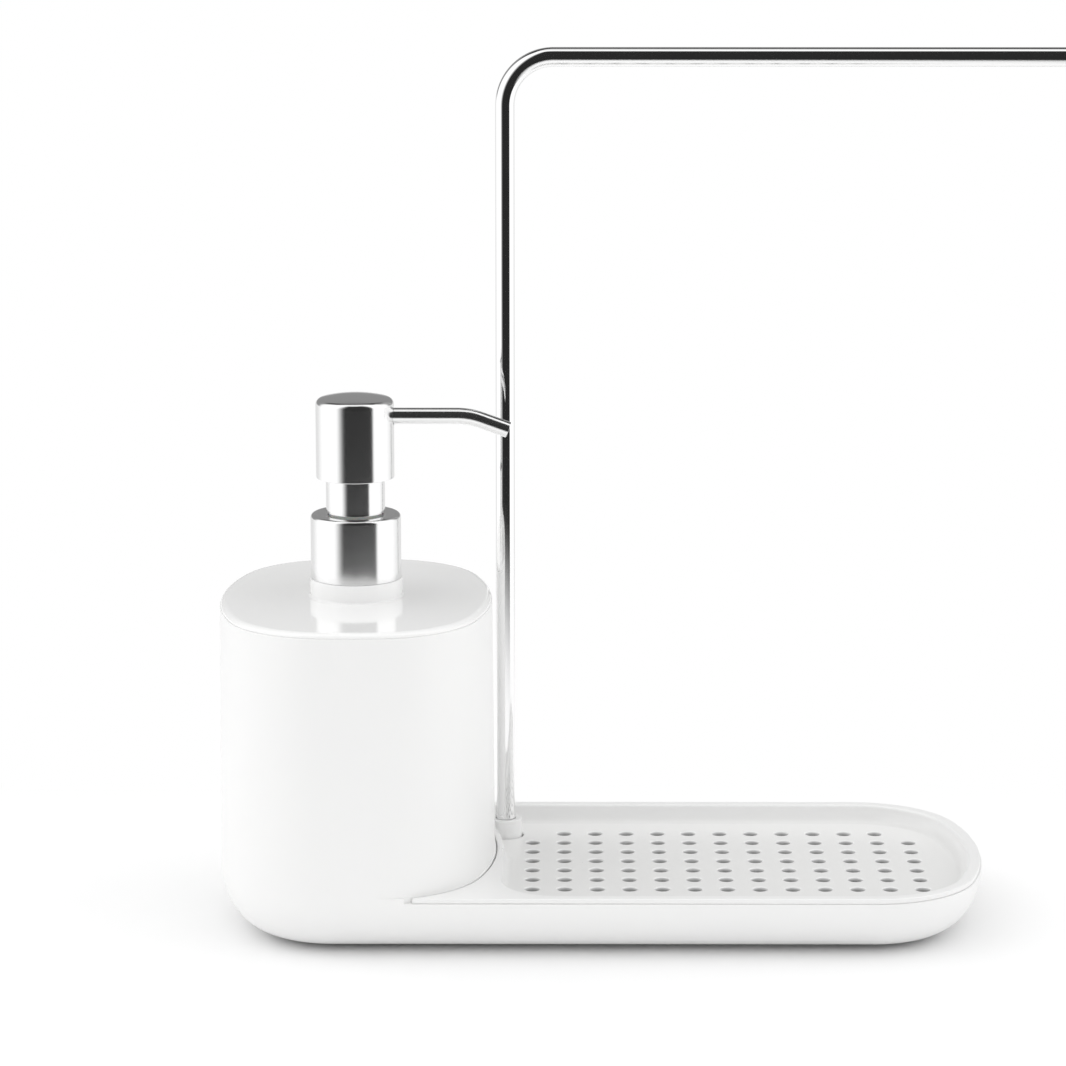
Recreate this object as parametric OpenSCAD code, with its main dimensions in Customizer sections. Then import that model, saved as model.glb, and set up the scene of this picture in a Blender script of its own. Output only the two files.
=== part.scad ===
// Soap pump caddy: a bottle with a press pump, a lift-out drip tray beside it and a cloth rail.
// It stands on z = 0. X runs along the caddy, from the bottle to the end of the rail, and Y to its back.

/* [Body] */
// Length of the body
base_l = 237; // [225:0.5:250]
// Depth of the body
base_w = 107; // [102:0.5:112]
// Radius of the corners, seen from above
corner_r = 33; // [30:0.5:36]
// Radius of the bulged ends, seen from above
end_r = 100; // [90:1:120]
// Lean of the outer walls in degrees
wall_lean = 0.5; // [0.1:0.1:0.8]
// Rounding under the outer edge
edge_r = 15.5; // [14:0.5:16]
// Thickness of the outer walls
wall_t = 2.8; // [2.4:0.1:3.2]
// Thickness of the floor
floor_t = 2.5; // [2.2:0.1:3]
// Height of the tray seam above the underside
seam_h = 16.6; // [16.4:0.1:17.5]
// Width of the bottle
bottle_w = 85.3; // [80:0.1:88]
// Height of the bottle's open top above the underside
bottle_h = 98.1; // [94:0.1:108]
// Thickening of the bottle's foot inside the tray pocket
skirt_t = 0.3; // [0.2:0.1:0.5]
// Ledge round the bottle's foot that carries the tray
ledge_t = 1.2; // [1:0.1:1.5]
// Distance from the bottle's end of the body to the end of the tray pocket
notch_in = 58.6; // [58:0.2:60]

/* [Feet] */
// Radius of a foot
foot_r = 6; // [5:0.5:7]
// Height of the body above the table
stand_h = 1.3; // [1:0.1:2]
// Depth of a foot's recess
foot_sink = 1; // [0.8:0.1:1.2]
// Distance of the feet from the ends of the body
foot_in = 32; // [32:1:36]
// Distance of the feet from the front and back of the body
foot_edge = 24; // [23:0.5:27]

/* [Drip tray] */
// Height of the tray's lip above the seam
lip_h = 1.6; // [1.4:0.1:2]
// Step from the body's wall in to the tray's lip
lip_step = 0.4; // [0.2:0.1:0.6]
// Depth of the tray floor below the rim
dish_h = 5.5; // [5:0.1:6]
// Thickness of the tray floor
dish_t = 2; // [1.6:0.1:2.4]
// Width of the rim
rim_w = 4.3; // [4:0.1:4.6]
// Sideways run of the sloping wall from the rim to the tray floor
slope_w = 3.2; // [2.8:0.1:3.6]
// Width of the rim along the bottle
band_w = 2; // [1.8:0.1:2.4]
// Rounding of the front corner next to the bottle
dish_corner_r = 17; // [14:0.5:20]
// Distance between hole centres
hole_pitch = 10; // [9.5:0.1:10]
// Radius of a drain hole
hole_r = 2.25; // [2:0.05:2.5]
// Number of holes along the tray
hole_cols = 13; // [11:1:13]
// Number of holes across the tray
hole_rows = 8; // [6:1:8]
// Distance from the bottle's end of the body to the first hole
hole_in = 97; // [96.5:0.1:98]
// Clearance between the tray and what it sits in
tray_gap = 0.4; // [0.3:0.05:0.5]
// Distance from the end of the pocket to the tip of the tray
tip_gap = 2.5; // [2:0.1:3]

/* [Rail] */
// Radius of the rail
rail_r = 3; // [2.8:0.05:3.1]
// Wall of the rail tube
rail_t = 0.8; // [0.6:0.05:1]
// Height of the rail's arm above the table
rail_z = 263.4; // [220:0.1:300]
// Distance from the bottle's end of the body to the leg
leg_in = 88.3; // [88:0.1:89]
// Distance of the leg from the back of the body
leg_edge = 19.5; // [18.5:0.1:20]
// Length of the arm from the leg's axis
arm_l = 200; // [170:1:240]
// Radius of the bend
bend_r = 15; // [12:0.5:20]
// Height of the rounded end of the arm
cap_h = 1.6; // [1:0.1:2]
// Outer radius of the socket
socket_r = 5.1; // [4.8:0.1:5.3]
// Height of the socket above the tray floor
socket_up = 5.7; // [5:0.1:6.5]
// Radius of the socket's flange under the body
socket_flange_r = 7.8; // [7:0.1:8.5]
// Thickness of that flange
socket_flange_t = 1.2; // [1:0.1:1.3]
// Floor under the rail inside the socket
socket_floor = 1; // [0.8:0.1:1.1]
// Widening of the socket's mouth
mouth_gap = 0.65; // [0.5:0.05:0.8]
// Depth of the widened mouth
mouth_h = 3; // [2:0.5:4]
// Clearance round the socket in the tray
socket_gap = 0.6; // [0.4:0.05:0.7]
// Length of the pivot inside the rail's foot
spigot_l = 8; // [6:0.5:12]

/* [Lid] */
// Height of the lid's edge
lid_edge = 1.6; // [1.5:0.1:2.2]
// Width of the soft top edge
lid_soft_w = 2.2; // [1.5:0.1:3]
// Height of the soft top edge
lid_soft_h = 1.2; // [0.8:0.1:1.3]
// Step from the bottle's wall in to the lid
lid_step = 0.3; // [0.2:0.05:0.5]
// Depth of the plug inside the bottle
plug_h = 7; // [6:0.5:9]
// Thickness of the plug's wall
plug_t = 2.6; // [2.4:0.1:3]
// Clearance between the plug and the bottle
plug_gap = 0.3; // [0.2:0.05:0.4]
// Height of the seal
seal_h = 2; // [1.5:0.1:2.5]
// Depth of the seal's groove
seal_d = 1.2; // [1:0.1:1.4]

/* [Bottle neck] */
// Radius of the neck ring
ring_r = 14.2; // [14:0.1:14.6]
// Height of the neck ring
ring_h = 5.6; // [5:0.1:6.5]
// Radius of the ring's foot
ring_foot_r = 15; // [14.8:0.1:16]
// Height of the ring's foot
ring_foot_h = 0.8; // [0.6:0.1:1.2]
// Radius of the neck that the collar screws on
neck_r = 11.6; // [11.4:0.1:11.8]
// Height of the neck above the lid
neck_h = 11.4; // [11:0.1:12.5]
// Radius of the neck's bore
neck_bore_r = 8.6; // [8.4:0.1:9]

/* [Pump collar] */
// Radius of the collar
collar_r = 13.9; // [13.7:0.1:14.2]
// Height of the collar
collar_h = 19.9; // [18.5:0.1:21]
// Thickness of the collar's bright skin
collar_skin = 0.6; // [0.5:0.05:0.8]
// Rounding of the collar's top edge
collar_round = 1.2; // [0.8:0.1:1.5]
// Clearance between the screw threads
thread_gap = 0.35; // [0.3:0.05:0.4]
// Clearance between faces that turn on each other
face_gap = 0.2; // [0.15:0.05:0.3]
// Thickness of the neck gasket
gasket_t = 1; // [0.8:0.1:1.2]
// Thickness of the cylinder's flange
flange_t = 1.4; // [1.2:0.1:1.6]
// Thickness of the chaplet's flange
chaplet_t = 1.6; // [1.4:0.1:1.8]
// Outer radius of the chaplet's chimney
chimney_r = 8.2; // [8.1:0.05:8.3]
// Wall of the chimney
chimney_t = 1.3; // [1:0.1:1.6]
// Height of the chimney above the lid
chimney_z = 38; // [37.5:0.1:38.3]
// Thickness of the chimney's top
guide_h = 2.5; // [2:0.1:4]
// Wall of the bright sleeve round the chimney
sleeve_t = 0.85; // [0.6:0.05:1]
// Distance between the collar and the sleeve
sleeve_up = 0.5; // [0.4:0.1:0.8]

/* [Pump head] */
// Radius of the head
head_r = 12; // [11.8:0.1:12.2]
// Height of the head's straight side
head_side_h = 22.6; // [22.4:0.1:24]
// Rounding of the head's top edge
head_round = 2; // [1.5:0.1:2.4]
// Radius of the domed top
dome_r = 43; // [36:1:60]
// Thickness of the head's bright skin
head_skin = 0.7; // [0.6:0.05:0.9]
// Depth of the core inside the head, below the domed top
core_h = 10.1; // [9.8:0.1:10.6]
// Travel of the head
stroke = 10.5; // [10:0.1:10.8]
// Distance between the head and the collar with the head pressed down
press_gap = 0.8; // [0.5:0.1:1]
// Height of the spout above the lid
spout_z = 56; // [55.6:0.1:56.2]
// Radius of the spout
spout_r = 2.5; // [2.3:0.05:2.6]
// Wall of the spout
spout_t = 0.6; // [0.5:0.05:0.7]
// Distance from the pump's axis to the start of the spout's bend
spout_run = 31.2; // [26:0.1:33]
// Radius of the spout's bend
spout_bend_r = 22; // [16:0.5:26]
// Angle of the spout's bend in degrees
spout_drop = 20; // [10:1:25]
// Length of the spout after the bend
spout_tip_l = 8.8; // [6:0.1:10]
// Length of the spout inside the head
spout_seat = 5.6; // [4.5:0.1:6]
// Widening round the spout where it enters the head
spout_eye = 0.35; // [0.3:0.05:0.5]

/* [Pump works] */
// Radius of the stem
stem_r = 3.6; // [3.5:0.05:3.7]
// Radius of the stem's channel
stem_bore_r = 1.5; // [1.3:0.1:1.7]
// Height of the stem's top above the lid
stem_z = 53; // [52.8:0.1:53.2]
// Running clearance of sliding and turning fits
run_gap = 0.05; // [0.03:0.01:0.08]
// Inner radius of the pump cylinder
barrel_r = 6.4; // [6.2:0.1:6.6]
// Wall of the pump cylinder
barrel_t = 1.2; // [1:0.1:1.4]
// Depth of the spring's seat below the lid
ledge_z = 30; // [28:0.5:34]
// Height of the piston
piston_h = 7; // [6:0.1:8]
// Height of the piston's top above the lid
piston_z = 8.5; // [8:0.1:9]
// Radius of the stem inside the piston
tail_r = 2.9; // [2.7:0.05:3]
// Height of the spring seat
seat_h = 2.5; // [2:0.1:3]
// Radius of the spring seat
seat_r = 5.4; // [5.2:0.1:5.6]
// Radius of the spring's wire
wire_r = 0.45; // [0.35:0.05:0.5]
// Radius of the spring's coil
coil_r = 4.7; // [4.5:0.05:4.8]
// Turns of the spring
coil_turns = 9; // [7:1:10]
// Radius of the inlet ball
inlet_ball_r = 2.7; // [2.6:0.05:2.8]
// Radius of the inlet ball's chamber
chamber_r = 3.4; // [3.3:0.05:3.6]
// Height of that chamber
chamber_h = 7; // [6.5:0.1:8]
// Radius of the inlet under the ball
inlet_r = 1.4; // [1.2:0.1:1.6]
// Radius of the outlet ball
outlet_ball_r = 2.3; // [2.2:0.05:2.35]
// Radius of the outlet ball's chamber in the stem
outlet_r = 2.7; // [2.6:0.05:2.75]
// Depth of that chamber
outlet_h = 6; // [5.5:0.1:6.5]
// Radius of the dip tube
dip_r = 3.1; // [3:0.05:3.2]
// Wall of the dip tube
dip_t = 0.9; // [0.7:0.1:1]
// Length of the dip tube inside its socket
dip_seat = 8; // [6:0.5:10]
// Distance from the dip tube's lower end to the floor of the bottle
dip_up = 2.5; // [2:0.5:5]

/* [Hidden] */
$fn = 96;
overrun = 0.5;
hair = 0.01;
corner_steps = 14;
end_steps = 12;
round_steps = 6;
pipe_sides = 32;
wire_sides = 6;
wire_rings = 8;
seat_slope = 38.66;
bay_back_share = 0.36;
bay_front_share = 0.16;

under_z = stand_h;
seam_z = under_z + seam_h;
rim_z = seam_z + lip_h;
dish_z = rim_z - dish_h;
well_z = under_z + floor_t;
bevel = edge_r / 2;
top_z = under_z + bottle_h;
lid_z = top_z + lid_edge;

left_x = -(leg_in + arm_l) / 2;
right_x = left_x + base_l;
bottle_x = left_x + bottle_w;
pump_x = left_x + bottle_w / 2;
leg_x = left_x + leg_in;
leg_back = base_w / 2 - leg_edge;
notch_x = left_x + notch_in;
tip_x = notch_x + tip_gap;
hole_x = left_x + hole_in;

// Corner centres of an outline lie this far behind its end and this far from the middle line
corner_y = base_w / 2 - corner_r;
corner_back = end_r - sqrt(pow(end_r - corner_r, 2) - pow(corner_y, 2));
end_angle = atan2(corner_y, end_r - corner_back);

socket_z = under_z + (floor_t - socket_flange_t) / 4;
socket_top = dish_z + socket_up;
rail_foot = socket_z + socket_floor;
rail_in_r = rail_r - rail_t;
plug_foot_h = socket_floor;
arm_end = leg_x + arm_l;

collar_z = lid_z + ring_h + face_gap;
collar_top = collar_z + collar_h;
gasket_z = lid_z + neck_h;
flange_z = gasket_z + gasket_t;
chaplet_z = flange_z + flange_t;
nut_z = chaplet_z + chaplet_t + face_gap;
nut_r = collar_r - collar_skin;
nut_bore_r = neck_r + thread_gap;
chimney_gap = thread_gap;
chimney_top = lid_z + chimney_z;
sleeve_z = collar_top + sleeve_up;

head_bottom = collar_top + press_gap + stroke;
head_in_r = head_r - head_skin;
dome_angle = acos((head_r - head_round) / (dome_r - head_round));
dome_low = (dome_r - head_round) * sin(dome_angle);
side_top = head_bottom + head_side_h;
core_z = side_top - core_h;
stem_top = lid_z + stem_z;
pipe_z = lid_z + spout_z;
spout_in_r = spout_r - spout_t;

piston_top = lid_z + piston_z;
piston_low = piston_top - piston_h;
seat_z = piston_low - seat_h;
spring_z = lid_z - ledge_z;
cone_h = (chamber_r - inlet_r) / tan(seat_slope);
inlet_z = spring_z - chamber_h - cone_h;
dip_top = inlet_z - inlet_r;
socket_low = dip_top - dip_seat;
barrel_out_r = barrel_r + barrel_t;
outlet_cone_h = (outlet_r - stem_bore_r) / tan(seat_slope);
outlet_z = stem_top - outlet_h - outlet_cone_h;

function arc(x, y, r, from, to, n) =
    [for (i = [0:n]) [x + r * cos(from + (to - from) * i / n), y + r * sin(from + (to - from) * i / n)]];

// Points along a bulged end, front to back, whose farthest point is at x; inset moves them inwards
function right_end(x, inset) = concat(
    arc(x - corner_back, -corner_y, corner_r - inset, -90, -end_angle, corner_steps),
    arc(x - end_r, 0, end_r - inset, -end_angle + end_angle / end_steps,
        end_angle - end_angle / end_steps, end_steps),
    arc(x - corner_back, corner_y, corner_r - inset, end_angle, 90, corner_steps));

function left_end(x, inset) = [for (p = right_end(-x, inset)) -p];

function outline(x_end, inset) = concat(right_end(x_end, inset), left_end(left_x, inset));

// Points round the bottle's side of the tray, back to front, at a gap from the bottle
function bottle_side(gap, back_angle, front_angle) = concat(
    arc(bottle_x - corner_back, corner_y, corner_r + gap, back_angle, end_angle, corner_steps),
    arc(bottle_x - end_r, 0, end_r + gap, end_angle - end_angle / end_steps,
        -end_angle + end_angle / end_steps, end_steps),
    arc(bottle_x - corner_back, -corner_y, corner_r + gap, -end_angle, -front_angle, corner_steps));

// Angle at which the corner arc round the bottle reaches a depth y, or a place x
function angle_at_y(y, gap) = asin((y - corner_y) / (corner_r + gap));
function angle_at_x(x, gap) = acos((x - bottle_x + corner_back) / (corner_r + gap));

function lean(z) = (z - under_z - edge_r) * tan(wall_lean);

function raised(points, z) = [for (p = points) [p[0], p[1], z]];

// Rows of points, one above the other, closed into a solid
module stacked(rows) {
    n = len(rows[0]);
    m = len(rows);
    polyhedron(
        points = [for (row = rows) each row],
        faces = concat(
            [[for (j = [0:n - 1]) j]],
            [for (k = [0:m - 2]) for (j = [0:n - 1])
                [k * n + j, (k + 1) * n + j, (k + 1) * n + (j + 1) % n, k * n + (j + 1) % n]],
            [[for (j = [n - 1:-1:0]) (m - 1) * n + j]]),
        convexity = 6);
}

// The whole outline up to the rim, the bottle's outline above it, and down again inside the bottle
module body_form() {
    low = concat(
        [for (i = [0:round_steps]) let (a = 90 * i / round_steps)
            raised(outline(right_x, edge_r * (1 - sin(a))), under_z + edge_r * (1 - cos(a)))],
        [raised(outline(right_x, lean(rim_z)), rim_z)]);
    high = concat(
        [for (z = [rim_z, top_z]) raised(outline(bottle_x, lean(z)), z)],
        [for (z = [top_z, well_z + bevel]) raised(outline(bottle_x, wall_t), z)],
        [raised(outline(bottle_x, wall_t + bevel), well_z)]);
    m = len(low);
    last = m + len(high) - 1;
    n = len(low[0]);
    half = n / 2;
    function at(row, j) = (row == m && j % n >= half ? m - 1 : row) * n + j % n;
    polyhedron(
        points = [for (row = concat(low, high)) each row],
        faces = concat(
            [[for (j = [0:n - 1]) j]],
            [for (k = [0:m - 3]) for (j = [0:n - 1])
                [at(k, j), at(k + 1, j), at(k + 1, j + 1), at(k, j + 1)]],
            [for (j = [0:n - 1]) concat(
                [at(m - 2, j), at(m - 1, j)],
                j == half - 1 ? [at(m, half - 1)] : [],
                j == n - 1 ? [at(m, 0)] : [],
                [at(m - 1, j + 1), at(m - 2, j + 1)])],
            [concat([for (j = [0:half - 1]) at(m, j)], [for (j = [half - 1:-1:0]) at(m - 1, j)])],
            [for (k = [m:last - 1]) for (j = [0:n - 1])
                [at(k, j), at(k + 1, j), at(k + 1, j + 1), at(k, j + 1)]],
            [[for (j = [n - 1:-1:0]) at(last, j)]]),
        convexity = 8);
}

// Points round the area beside the bottle, from a wall's inset to a gap from the bottle
function side_row(inset, gap) =
    let (tip = angle_at_y(base_w / 2 - inset, gap))
    concat(right_end(right_x, inset), bottle_side(gap, tip, tip));

// Hollow under the tray, with a slope where its floor meets the wall
module tray_well() {
    gap = skirt_t + ledge_t;
    stacked([raised(side_row(wall_t + bevel, gap), well_z), raised(side_row(wall_t, gap), well_z + bevel),
        raised(side_row(wall_t, gap), rim_z + overrun)]);
}

// Area beside the bottle with blunt tips at x
module lip_area(inset, gap, x) {
    tip = angle_at_x(x, gap);
    depth = base_w / 2 - inset;
    polygon(concat(right_end(right_x, inset), [[x, depth]], bottle_side(gap, tip, tip), [[x, -depth]]));
}

module foot_places() {
    for (x = [left_x + foot_in, right_x - foot_in])
        for (y = [foot_edge - base_w / 2, base_w / 2 - foot_edge])
            translate([x, y, 0]) children();
}

module on_pump(z) {
    translate([pump_x, 0, z]) children();
}

module on_leg(z) {
    translate([leg_x, leg_back, z]) children();
}

module tube(outer, inner, h) {
    difference() {
        cylinder(r = outer, h = h);
        translate([0, 0, -overrun]) cylinder(r = inner, h = h + 2 * overrun);
    }
}

module base_body() {
    boss_r = socket_flange_r + wall_t / 2;
    color("white") difference() {
        union() {
            difference() {
                body_form();
                tray_well();
                translate([0, 0, seam_z]) linear_extrude(lip_h + overrun)
                    lip_area(-overrun, skirt_t, notch_x);
            }
            on_leg(well_z - floor_t / 2) cylinder(r = boss_r, h = floor_t / 2 + floor_t);
        }
        on_leg(under_z - overrun) cylinder(r = socket_r, h = seam_h);
        on_leg(under_z - overrun)
            cylinder(r = socket_flange_r + plug_gap, h = socket_z - under_z + socket_flange_t + overrun);
        foot_places() translate([0, 0, under_z - overrun])
            cylinder(r = foot_r + plug_gap, h = foot_sink + overrun);
    }
}

module rubber_feet() {
    color("dimgray") foot_places() cylinder(r = foot_r, h = stand_h + foot_sink);
}

// One row round the tray's hollow: share 0 is at the tray floor and 1 at the rim
function dish_row(share) =
    let (
        inset = rim_w + slope_w * (1 - share),
        side_gap = skirt_t + tray_gap + band_w + slope_w / 3 * (1 - share),
        straight_x = bottle_x + skirt_t + tray_gap + band_w + slope_w * (1 - share),
        front_y = -(base_w / 2 - inset),
        back_angle = angle_at_y(base_w / 2 - inset, side_gap),
        leave = asin((base_w / 2) * bay_back_share * (1 - share) / (end_r + side_gap)),
        bay_y = (base_w / 2) * bay_front_share * (1 - share)
    )
    concat(
        right_end(right_x, inset),
        arc(bottle_x - corner_back, corner_y, corner_r + side_gap, back_angle, end_angle, corner_steps),
        arc(bottle_x - end_r, 0, end_r + side_gap, end_angle - end_angle / end_steps, leave, round_steps),
        [[straight_x, bay_y - hair]],
        arc(straight_x + dish_corner_r, front_y + dish_corner_r, dish_corner_r, 180, 270, corner_steps));

module dish_hollow() {
    rows = [for (i = [0:round_steps]) let (a = 90 * i / round_steps)
        raised(dish_row(sin(a)), dish_z + (rim_z - dish_z) * (1 - cos(a)))];
    stacked(concat(rows, [raised(dish_row(1), rim_z + overrun)]));
}

module drip_tray() {
    under = dish_z - dish_t;
    color("white") difference() {
        union() {
            translate([0, 0, seam_z]) linear_extrude(lip_h)
                lip_area(lip_step, skirt_t + tray_gap, tip_x);
            translate([0, 0, under]) linear_extrude(seam_z - under + hair)
                polygon(side_row(wall_t + tray_gap, skirt_t + ledge_t + tray_gap));
        }
        dish_hollow();
        for (i = [0:hole_cols - 1]) for (j = [0:hole_rows - 1])
            if (!((i == 0 || i == hole_cols - 1) && (j == 0 || j == hole_rows - 1)))
                translate([hole_x + hole_pitch * i, hole_pitch * (j - (hole_rows - 1) / 2), under - overrun])
                    cylinder(r = hole_r, h = dish_t + 2 * overrun, $fn = 32);
        on_leg(under - overrun) cylinder(r = socket_r + socket_gap, h = seam_h);
    }
}

module rail_socket() {
    color("white") difference() {
        union() {
            on_leg(socket_z) cylinder(r = socket_flange_r, h = socket_flange_t);
            on_leg(socket_z) cylinder(r = socket_r, h = socket_top - socket_z);
        }
        on_leg(rail_foot) cylinder(r = rail_r + run_gap, h = socket_top);
        on_leg(socket_top - mouth_h) cylinder(r = rail_r + mouth_gap, h = mouth_h + overrun);
    }
}

module rail_rod() {
    foot = rail_foot + plug_foot_h;
    color("silver") difference() {
        union() {
            on_leg(foot) cylinder(r = rail_r, h = rail_z - bend_r - foot);
            rail_bend(rail_r);
            arm_bar(rail_r, arm_l - bend_r - cap_h);
        }
        on_leg(foot - overrun) cylinder(r = rail_in_r, h = rail_z - bend_r - foot + overrun);
        rail_bend(rail_in_r);
        arm_bar(rail_in_r, arm_l);
    }
}

module rail_bend(r) {
    translate([leg_x + bend_r, leg_back, rail_z - bend_r]) rotate([90, 0, 0]) rotate([0, 0, 90])
        rotate_extrude(angle = 90) translate([bend_r, 0]) circle(r = r);
}

module arm_bar(r, l) {
    translate([leg_x + bend_r, leg_back, rail_z]) rotate([0, 90, 0]) cylinder(r = r, h = l);
}

module rail_end_cap() {
    color("silver") translate([arm_end - cap_h, leg_back, rail_z]) rotate([0, 90, 0]) {
        rotate_extrude() intersection() {
            union() {
                translate([rail_r - cap_h, 0]) circle(r = cap_h);
                translate([0, -cap_h]) square([rail_r - cap_h, 2 * cap_h]);
            }
            square([rail_r, cap_h]);
        }
        translate([0, 0, -spigot_l]) cylinder(r = rail_in_r, h = spigot_l + hair);
    }
}

module rail_foot_plug() {
    color("gray") {
        on_leg(rail_foot) cylinder(r = rail_r, h = plug_foot_h - face_gap);
        on_leg(rail_foot) cylinder(r = rail_in_r - run_gap, h = spigot_l);
    }
}

module bottle_lid() {
    step = lean(top_z) + lid_step;
    side_h = lid_edge - lid_soft_h;
    groove = wall_t + plug_gap;
    color("white") difference() {
        union() {
            stacked(concat(
                [raised(outline(bottle_x, step), top_z)],
                [for (i = [0:round_steps]) let (a = 90 * i / round_steps)
                    raised(outline(bottle_x, step + lid_soft_w * (1 - cos(a))),
                        top_z + side_h + lid_soft_h * sin(a))]));
            translate([0, 0, top_z - plug_h]) linear_extrude(plug_h + lid_edge / 2) difference() {
                polygon(outline(bottle_x, groove));
                polygon(outline(bottle_x, groove + plug_t));
            }
            on_pump(top_z) cylinder(r = ring_r, h = lid_edge + ring_h);
            on_pump(top_z) cylinder(r = ring_foot_r, h = lid_edge + ring_foot_h);
            on_pump(top_z) cylinder(r = neck_r, h = lid_edge + neck_h);
        }
        on_pump(top_z - overrun) cylinder(r = neck_bore_r, h = lid_edge + neck_h + 2 * overrun);
        translate([0, 0, top_z - (plug_h + seal_h) / 2]) linear_extrude(seal_h) difference() {
            polygon(outline(bottle_x, groove - overrun));
            polygon(outline(bottle_x, groove + seal_d));
        }
    }
}

module lid_seal() {
    color("lightgray") translate([0, 0, top_z - (plug_h + seal_h) / 2 + run_gap])
        linear_extrude(seal_h - 2 * run_gap) difference() {
            polygon(outline(bottle_x, wall_t + run_gap));
            polygon(outline(bottle_x, wall_t + plug_gap + seal_d - run_gap));
        }
}

// A turned skin: a round top edge over a straight side
module skin(r, h, edge) {
    rotate_extrude() union() {
        square([r, h - edge]);
        square([r - edge, h]);
        translate([r - edge, h - edge]) intersection() {
            circle(r = edge);
            square([edge, edge]);
        }
    }
}

module collar_shell() {
    color("silver") difference() {
        on_pump(collar_z) skin(collar_r, collar_h, collar_round);
        on_pump(collar_z - overrun) cylinder(r = nut_r, h = collar_h - collar_skin + overrun);
        on_pump(collar_z) cylinder(r = chimney_r + chimney_gap, h = collar_h + overrun);
    }
}

module collar_nut() {
    color("whitesmoke") difference() {
        on_pump(collar_z) cylinder(r = nut_r, h = collar_h - collar_skin);
        on_pump(collar_z - overrun) cylinder(r = nut_bore_r, h = nut_z - collar_z + overrun);
        on_pump(collar_z) cylinder(r = chimney_r + chimney_gap, h = collar_h);
    }
}

module neck_gasket() {
    color("dimgray") on_pump(gasket_z) tube(neck_r, neck_bore_r, gasket_t);
}

module chaplet() {
    color("whitesmoke") difference() {
        union() {
            on_pump(chaplet_z) cylinder(r = neck_r, h = chaplet_t);
            on_pump(chaplet_z) cylinder(r = chimney_r, h = chimney_top - chaplet_z);
        }
        on_pump(chaplet_z - overrun)
            cylinder(r = chimney_r - chimney_t, h = chimney_top - guide_h - chaplet_z + overrun);
        on_pump(chaplet_z) cylinder(r = stem_r + run_gap, h = chimney_top);
    }
}

module neck_sleeve() {
    color("silver") on_pump(sleeve_z) tube(chimney_r + sleeve_t, chimney_r, chimney_top - sleeve_z);
}

// Barrel with a flange on the neck, a cone seat for the inlet ball and a socket for the dip tube
module pump_cylinder() {
    neck_low = spring_z - chamber_h / 2;
    color("whitesmoke") on_pump(0) rotate_extrude() polygon([
        [barrel_r, chaplet_z],
        [barrel_r, spring_z],
        [chamber_r, spring_z],
        [chamber_r, spring_z - chamber_h],
        [inlet_r, inlet_z],
        [inlet_r, dip_top],
        [dip_r, dip_top],
        [dip_r, socket_low],
        [dip_r + barrel_t, socket_low],
        [dip_r + barrel_t, inlet_z],
        [chamber_r + barrel_t, spring_z - chamber_h],
        [barrel_out_r, neck_low],
        [barrel_out_r, flange_z],
        [neck_r, flange_z],
        [neck_r, chaplet_z]]);
}

// Spring wire wound round the pump's axis
module pump_spring() {
    low = spring_z + wire_r + run_gap;
    high = seat_z - wire_r - run_gap;
    steps = coil_turns * wire_rings;
    color("silver") on_pump(0) stacked([for (i = [0:steps])
        let (a = 360 * i / wire_rings, z = low + (high - low) * i / steps)
        [for (j = [0:wire_sides - 1]) let (b = 360 * j / wire_sides)
            let (r = coil_r + wire_r * cos(b)) [r * cos(a), r * sin(a), z + wire_r * sin(b)]]]);
}

module spring_seat() {
    color("whitesmoke") on_pump(seat_z) tube(seat_r, tail_r, seat_h);
}

// Piston with a wiping lip at each end
module piston() {
    lip = piston_h / 4;
    wipe_r = barrel_r - run_gap;
    waist_r = wipe_r - barrel_t;
    color("gainsboro") difference() {
        union() {
            on_pump(piston_low) cylinder(r = waist_r, h = piston_h);
            on_pump(piston_low) cylinder(r = wipe_r, h = lip);
            on_pump(piston_top - lip) cylinder(r = wipe_r, h = lip);
        }
        on_pump(piston_low - overrun) cylinder(r = tail_r, h = piston_h + 2 * overrun);
    }
}

module pump_stem() {
    color("whitesmoke") on_pump(0) rotate_extrude() polygon([
        [stem_bore_r, seat_z],
        [tail_r, seat_z],
        [tail_r, piston_top],
        [stem_r, piston_top],
        [stem_r, stem_top],
        [outlet_r, stem_top],
        [outlet_r, stem_top - outlet_h],
        [stem_bore_r, outlet_z]]);
}

module inlet_ball() {
    apex = inlet_z - inlet_r / tan(seat_slope);
    color("silver") on_pump(apex + (inlet_ball_r + run_gap) / sin(seat_slope)) sphere(r = inlet_ball_r);
}

module outlet_ball() {
    apex = outlet_z - stem_bore_r / tan(seat_slope);
    color("silver") on_pump(apex + (outlet_ball_r + run_gap) / sin(seat_slope)) sphere(r = outlet_ball_r);
}

module dip_tube() {
    low = well_z + dip_up;
    color("gainsboro") on_pump(low) tube(dip_r, dip_r - dip_t, dip_top - low);
}

// The head's form down to a height, with its straight side, rounded edge and dome all set in by an inset
module head_form(inset, low) {
    on_pump(0) rotate_extrude() polygon(concat(
        [[0, low], [head_r - inset, low]],
        arc(head_r - head_round, side_top, head_round - inset, 0, dome_angle, round_steps),
        arc(0, side_top - dome_low, dome_r - inset, dome_angle + (90 - dome_angle) / round_steps, 90,
            round_steps - 1)));
}

module head_shell() {
    color("silver") difference() {
        head_form(0, head_bottom);
        head_form(head_skin, head_bottom - overrun);
        on_pump(pipe_z) rotate([0, 90, 0]) cylinder(r = spout_r + spout_eye, h = head_r + overrun);
    }
}

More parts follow.
